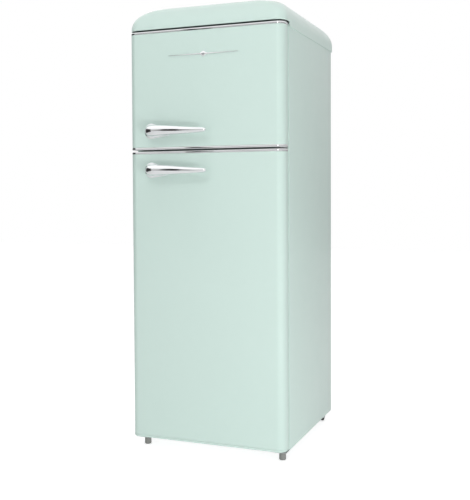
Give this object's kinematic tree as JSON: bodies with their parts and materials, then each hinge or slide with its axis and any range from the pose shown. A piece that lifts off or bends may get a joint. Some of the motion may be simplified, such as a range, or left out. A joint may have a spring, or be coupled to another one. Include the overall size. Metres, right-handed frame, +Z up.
{
  "type": "top freezer refrigerator",
  "caption": "Top freezer refrigerator in a rounded 1950s style: enamelled case, domed cover, right-hinged freezer and food doors with horn-shaped chrome handles, shelves, bins and a crisper.",
  "frame": {"origin": "on the floor under the middle of the whole object, handles included", "axes": "+Z up; the doors and handles face -Y; +X is to the right as seen from the front, the side the doors hinge on"},
  "size_m": [0.545, 0.629, 1.473],
  "materials": {
    "enamel": "gloss",
    "chrome": "polished",
    "hinge_steel": "satin",
    "zinc_sheet": "satin",
    "liner_white": "satin",
    "grey_plastic": "satin",
    "black_metal": "satin",
    "black_rubber": "matte",
    "seal_rubber": "satin",
    "copper": "satin",
    "insulation_foam": "matte",
    "aluminium_plate": "satin",
    "shelf_glass": "gloss",
    "clear_plastic": "gloss",
    "coated_wire": "gloss"
  },
  "bodies": {
    "cabinet": {"side_panel_left": "enamel", "side_panel_right": "enamel", "top_panel": "enamel", "centre_rail": "enamel", "top_cover": "enamel", "hinge_top_bracket": "hinge_steel", "hinge_middle_bracket": "hinge_steel", "hinge_bottom_bracket": "hinge_steel", "foot_bracket_left": "hinge_steel", "base_pan": "zinc_sheet", "back_panel": "zinc_sheet", "machine_bay_wall": "zinc_sheet", "compressor_base_plate": "zinc_sheet", "freezer_liner": "liner_white", "fridge_liner": "liner_white", "control_housing": "liner_white", "drain_tube": "grey_plastic", "evaporation_tray": "grey_plastic", "compressor": "black_metal", "start_relay_cover": "black_metal", "condenser_coil": "black_metal", "cord_gland": "black_rubber", "filter_drier": "copper", "suction_pipe": "copper", "case_foam": "insulation_foam", "evaporator_plate": "aluminium_plate", "glass_shelf_upper": "shelf_glass", "glass_shelf_lower": "shelf_glass", "crisper_cover": "shelf_glass", "light_lens": "clear_plastic", "freezer_wire_shelf": "coated_wire"},
    "freezer_door": {"freezer_door_skin": "enamel", "freezer_door_foam": "insulation_foam", "freezer_door_liner": "liner_white", "freezer_door_gasket": "seal_rubber", "freezer_door_cap_top": "chrome", "freezer_door_cap_bottom": "chrome", "freezer_handle_rose": "chrome", "freezer_handle_grip": "chrome", "door_ornament": "chrome", "freezer_door_bin": "clear_plastic"},
    "fridge_door": {"fridge_door_skin": "enamel", "fridge_door_foam": "insulation_foam", "fridge_door_liner": "liner_white", "fridge_door_gasket": "seal_rubber", "fridge_door_cap_top": "chrome", "fridge_door_cap_bottom": "enamel", "fridge_handle_rose": "chrome", "fridge_handle_grip": "chrome", "door_bin_upper": "clear_plastic", "door_bin_middle": "clear_plastic", "bottle_bin": "clear_plastic"},
    "crisper_drawer": {"crisper_drawer": "clear_plastic"},
    "thermostat_knob": {"thermostat_knob": "liner_white"},
    "light_switch_plunger": {"light_switch_plunger": "liner_white"},
    "levelling_foot_left": {"levelling_foot_left": "grey_plastic"},
    "levelling_foot_right": {"levelling_foot_right": "grey_plastic"},
    "rear_roller_left": {"rear_roller_left": "black_rubber"},
    "rear_roller_right": {"rear_roller_right": "black_rubber"}
  },
  "joints": [
    {"name": "freezer_door_hinge", "type": "hinge", "parent": "cabinet", "child": "freezer_door", "pos_m": [0.256, -0.2355, 1.196], "axis": [0, 0, 1], "range_deg": [0, 110]},
    {"name": "fridge_door_hinge", "type": "hinge", "parent": "cabinet", "child": "fridge_door", "pos_m": [0.256, -0.2355, 0.517], "axis": [0, 0, 1], "range_deg": [0, 110]},
    {"name": "crisper_slide", "type": "slide", "parent": "cabinet", "child": "crisper_drawer", "axis": [0, -1, 0], "range_m": [0, 0.19]},
    {"name": "light_switch_press", "type": "slide", "parent": "cabinet", "child": "light_switch_plunger", "axis": [0, -1, 0], "range_m": [0, 0.006]},
    {"name": "thermostat_turn", "type": "hinge", "parent": "cabinet", "child": "thermostat_knob", "pos_m": [-0.038, -0.1205, 0.906], "axis": [0, 0, -1], "range_deg": [0, 270]},
    {"name": "foot_left_screw", "type": "slide", "parent": "cabinet", "child": "levelling_foot_left", "axis": [0, 0, -1], "range_m": [0, 0.012]},
    {"name": "foot_right_screw", "type": "slide", "parent": "cabinet", "child": "levelling_foot_right", "axis": [0, 0, -1], "range_m": [0, 0.012]},
    {"name": "roller_left_spin", "type": "hinge", "parent": "cabinet", "child": "rear_roller_left", "pos_m": [-0.24, 0.2745, 0.018], "axis": [1, 0, 0], "continuous": true},
    {"name": "roller_right_spin", "type": "hinge", "parent": "cabinet", "child": "rear_roller_right", "pos_m": [0.24, 0.2745, 0.018], "axis": [1, 0, 0], "continuous": true}
  ],
  "couplings": [
    {"joint": "crisper_slide", "follows": "fridge_door_hinge", "m_per_rad": 0.098965},
    {"joint": "light_switch_press", "follows": "fridge_door_hinge", "m_per_rad": 0.003125}
  ]
}
